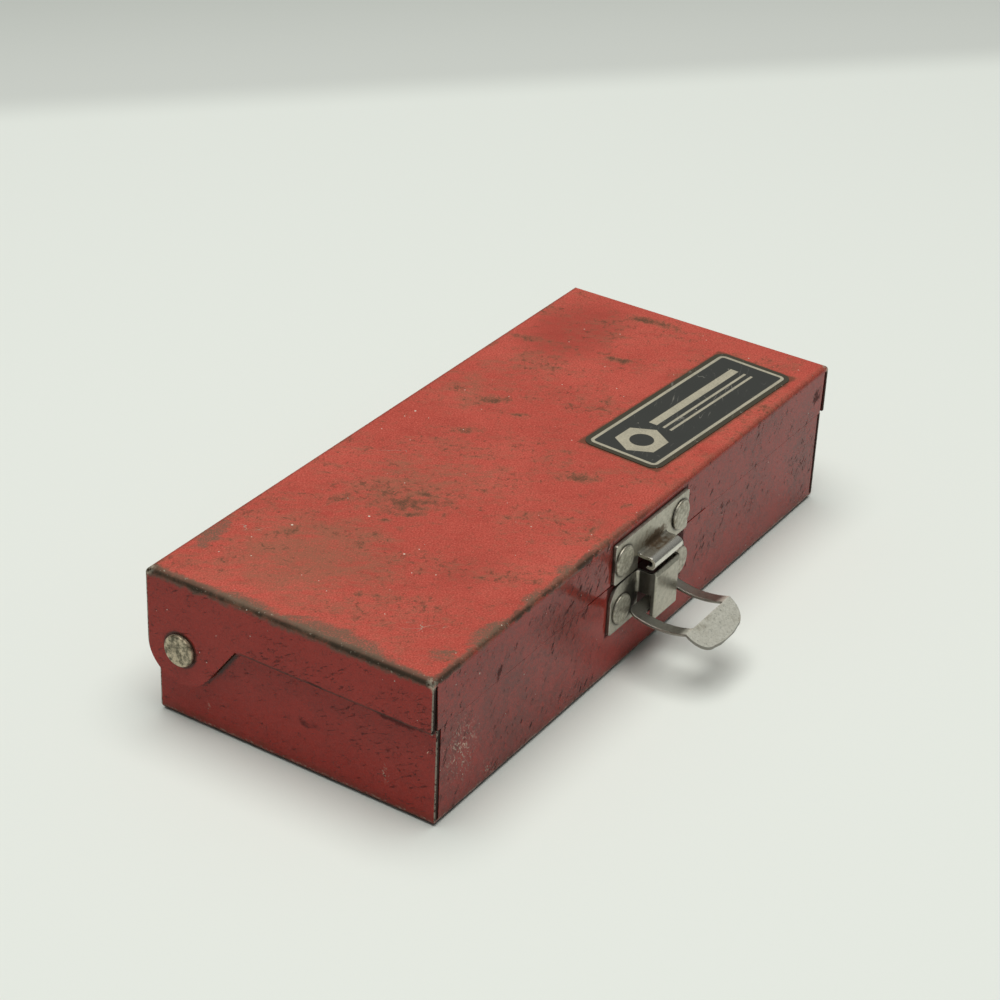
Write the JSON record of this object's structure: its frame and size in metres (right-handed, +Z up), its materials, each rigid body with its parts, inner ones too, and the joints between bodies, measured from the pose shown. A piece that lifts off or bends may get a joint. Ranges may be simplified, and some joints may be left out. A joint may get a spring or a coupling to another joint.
{
  "type": "metal latch box",
  "caption": "Shallow folded sheet-steel box with a lid hinged on end rivets and a stamped thumb lever that snaps over a rolled bead on the lid.",
  "frame": {"origin": "on the surface that the box stands on, under the middle of the lid", "axes": "+X along the box, -Y out of the face with the latch, +Z up"},
  "size_m": [0.18, 0.099, 0.0383],
  "materials": {
    "base_paint": "worn gloss enamel",
    "lid_paint": "worn gloss enamel",
    "latch_steel": "aged plating",
    "lever_steel": "aged plating",
    "rivet_steel": "aged plating",
    "hinge_steel": "aged plating",
    "label_foil": "printed foil"
  },
  "bodies": {
    "base": {"base_tray": "base_paint", "keeper_plate": "latch_steel", "keeper_rivet_left": "rivet_steel", "keeper_rivet_right": "rivet_steel", "hinge_rivet_left": "hinge_steel", "hinge_rivet_right": "hinge_steel", "hinge_washer_left": "hinge_steel", "hinge_washer_right": "hinge_steel"},
    "lid": {"lid_shell": "lid_paint", "strike_plate": "latch_steel", "strike_rivet_left": "rivet_steel", "strike_rivet_right": "rivet_steel", "label_plate": "label_foil"},
    "lever": {"thumb_lever": "lever_steel"}
  },
  "joints": [
    {"name": "lid_hinge", "type": "hinge", "parent": "base", "child": "lid", "pos_m": [0, 0.029, 0.0197], "axis": [-1, 0, 0], "range_deg": [0, 97]},
    {"name": "lever_pivot", "type": "hinge", "parent": "base", "child": "lever", "pos_m": [-0.0008, -0.04085, 0.0151], "axis": [-1, 0, 0], "range_deg": [-35, 90]}
  ]
}
